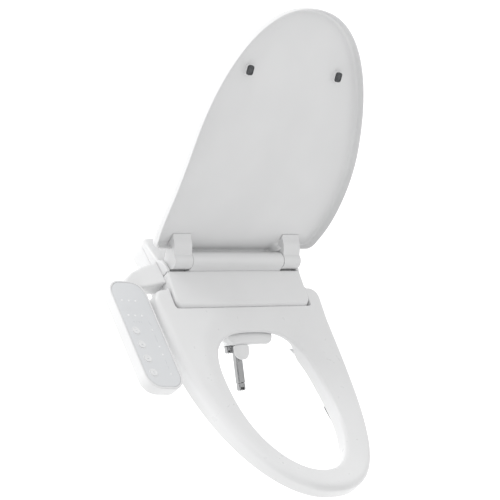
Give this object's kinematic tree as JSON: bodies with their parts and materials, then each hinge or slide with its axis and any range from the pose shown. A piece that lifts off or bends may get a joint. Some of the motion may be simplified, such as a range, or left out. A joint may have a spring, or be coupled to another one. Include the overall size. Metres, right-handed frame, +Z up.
{
  "type": "electric bidet seat",
  "caption": "Elongated electric bidet seat with open curved lid, hinged seat ring, extended spray wand and a side control pod with membrane keys.",
  "frame": {"origin": "underside of the mounting bracket, on the toilet rim plane, halfway between the two bolts", "axes": "+Z up, -Y towards the front of the seat, +X to the right of someone looking along +Y from the front"},
  "size_m": [0.4729, 0.6583, 0.5004],
  "materials": {
    "white_shell": "moulded satin-gloss white",
    "white_lid": "moulded satin-gloss white",
    "white_seat": "moulded gloss white",
    "overlay": "pale blue-grey printed film",
    "button": "pale grey membrane key",
    "rubber": "matt grey rubber",
    "chrome": "polished",
    "steel": "brushed",
    "inner_plastic": "matt dark",
    "circuit": "solder mask"
  },
  "bodies": {
    "seat_unit": {"mounting_bracket": "inner_plastic", "base_housing": "white_shell", "top_cover": "white_shell", "cover_plate": "white_shell", "hinge_ridge": "white_shell", "heater_tank": "inner_plastic", "circuit_board": "circuit", "board_capacitor": "inner_plastic", "solenoid_valve": "inner_plastic", "dryer_fan": "inner_plastic", "water_inlet": "steel", "cord_gland": "rubber", "wand_guide": "white_shell", "mounting_bolt_left": "steel", "mounting_bolt_right": "steel", "mounting_nut_left": "inner_plastic", "mounting_nut_right": "inner_plastic", "lid_hinge_pin_left": "steel", "lid_hinge_pin_right": "steel", "seat_hinge_pin_left": "steel", "seat_hinge_pin_right": "steel", "rear_wand_motor": "inner_plastic", "front_wand_motor": "inner_plastic", "pod_shell": "white_shell", "pod_arm": "white_shell", "pod_overlay": "overlay", "pod_board": "circuit"},
    "lid": {"lid_shell": "white_lid", "lid_lug_left": "white_lid", "lid_lug_right": "white_lid", "lid_bumper_left": "rubber", "lid_bumper_right": "rubber"},
    "seat_ring": {"seat_ring_top": "white_seat", "seat_ring_base": "white_seat", "seat_heater": "inner_plastic", "seat_bumper_front_right": "rubber", "seat_bumper_front_left": "rubber", "seat_bumper_rear_right": "rubber", "seat_bumper_rear_left": "rubber"},
    "rear_wand": {"rear_wash_wand": "chrome", "rear_wash_tip": "chrome"},
    "front_wand": {"front_wash_wand": "chrome", "front_wash_tip": "chrome"},
    "guard": {"wand_guard": "white_shell"},
    "unit_release": {"release_button": "button"},
    "button_1": {"pod_button_1": "button"},
    "button_2": {"pod_button_2": "button"},
    "button_3": {"pod_button_3": "button"},
    "button_4": {"pod_button_4": "button"}
  },
  "joints": [
    {"name": "lid_hinge", "type": "hinge", "parent": "seat_unit", "child": "lid", "pos_m": [0, -0.02, 0.073], "axis": [-1, 0, 0], "range_deg": [-119, 0]},
    {"name": "seat_hinge", "type": "hinge", "parent": "seat_unit", "child": "seat_ring", "pos_m": [0, -0.073, 0.039], "axis": [-1, 0, 0], "range_deg": [0, 85]},
    {"name": "rear_wand_slide", "type": "slide", "parent": "seat_unit", "child": "rear_wand", "axis": [0, -0.8894, -0.4571], "range_m": [-0.062, 0]},
    {"name": "front_wand_slide", "type": "slide", "parent": "seat_unit", "child": "front_wand", "axis": [0, -0.8894, -0.4571], "range_m": [0, 0.062]},
    {"name": "guard_hinge", "type": "hinge", "parent": "seat_unit", "child": "guard", "pos_m": [-0.023, -0.155, 0.024], "axis": [-1, 0, 0], "range_deg": [0, 25]},
    {"name": "button_1_press", "type": "slide", "parent": "seat_unit", "child": "button_1", "axis": [0, 0, -1], "range_m": [0, 0.0008], "stiffness_N_per_m": 800},
    {"name": "button_2_press", "type": "slide", "parent": "seat_unit", "child": "button_2", "axis": [0, 0, -1], "range_m": [0, 0.0008], "stiffness_N_per_m": 800},
    {"name": "button_3_press", "type": "slide", "parent": "seat_unit", "child": "button_3", "axis": [0, 0, -1], "range_m": [0, 0.0008], "stiffness_N_per_m": 800},
    {"name": "button_4_press", "type": "slide", "parent": "seat_unit", "child": "button_4", "axis": [0, 0, -1], "range_m": [0, 0.0008], "stiffness_N_per_m": 800},
    {"name": "release_press", "type": "slide", "parent": "seat_unit", "child": "unit_release", "axis": [-1, 0, 0], "range_m": [0, 0.002], "stiffness_N_per_m": 900}
  ]
}
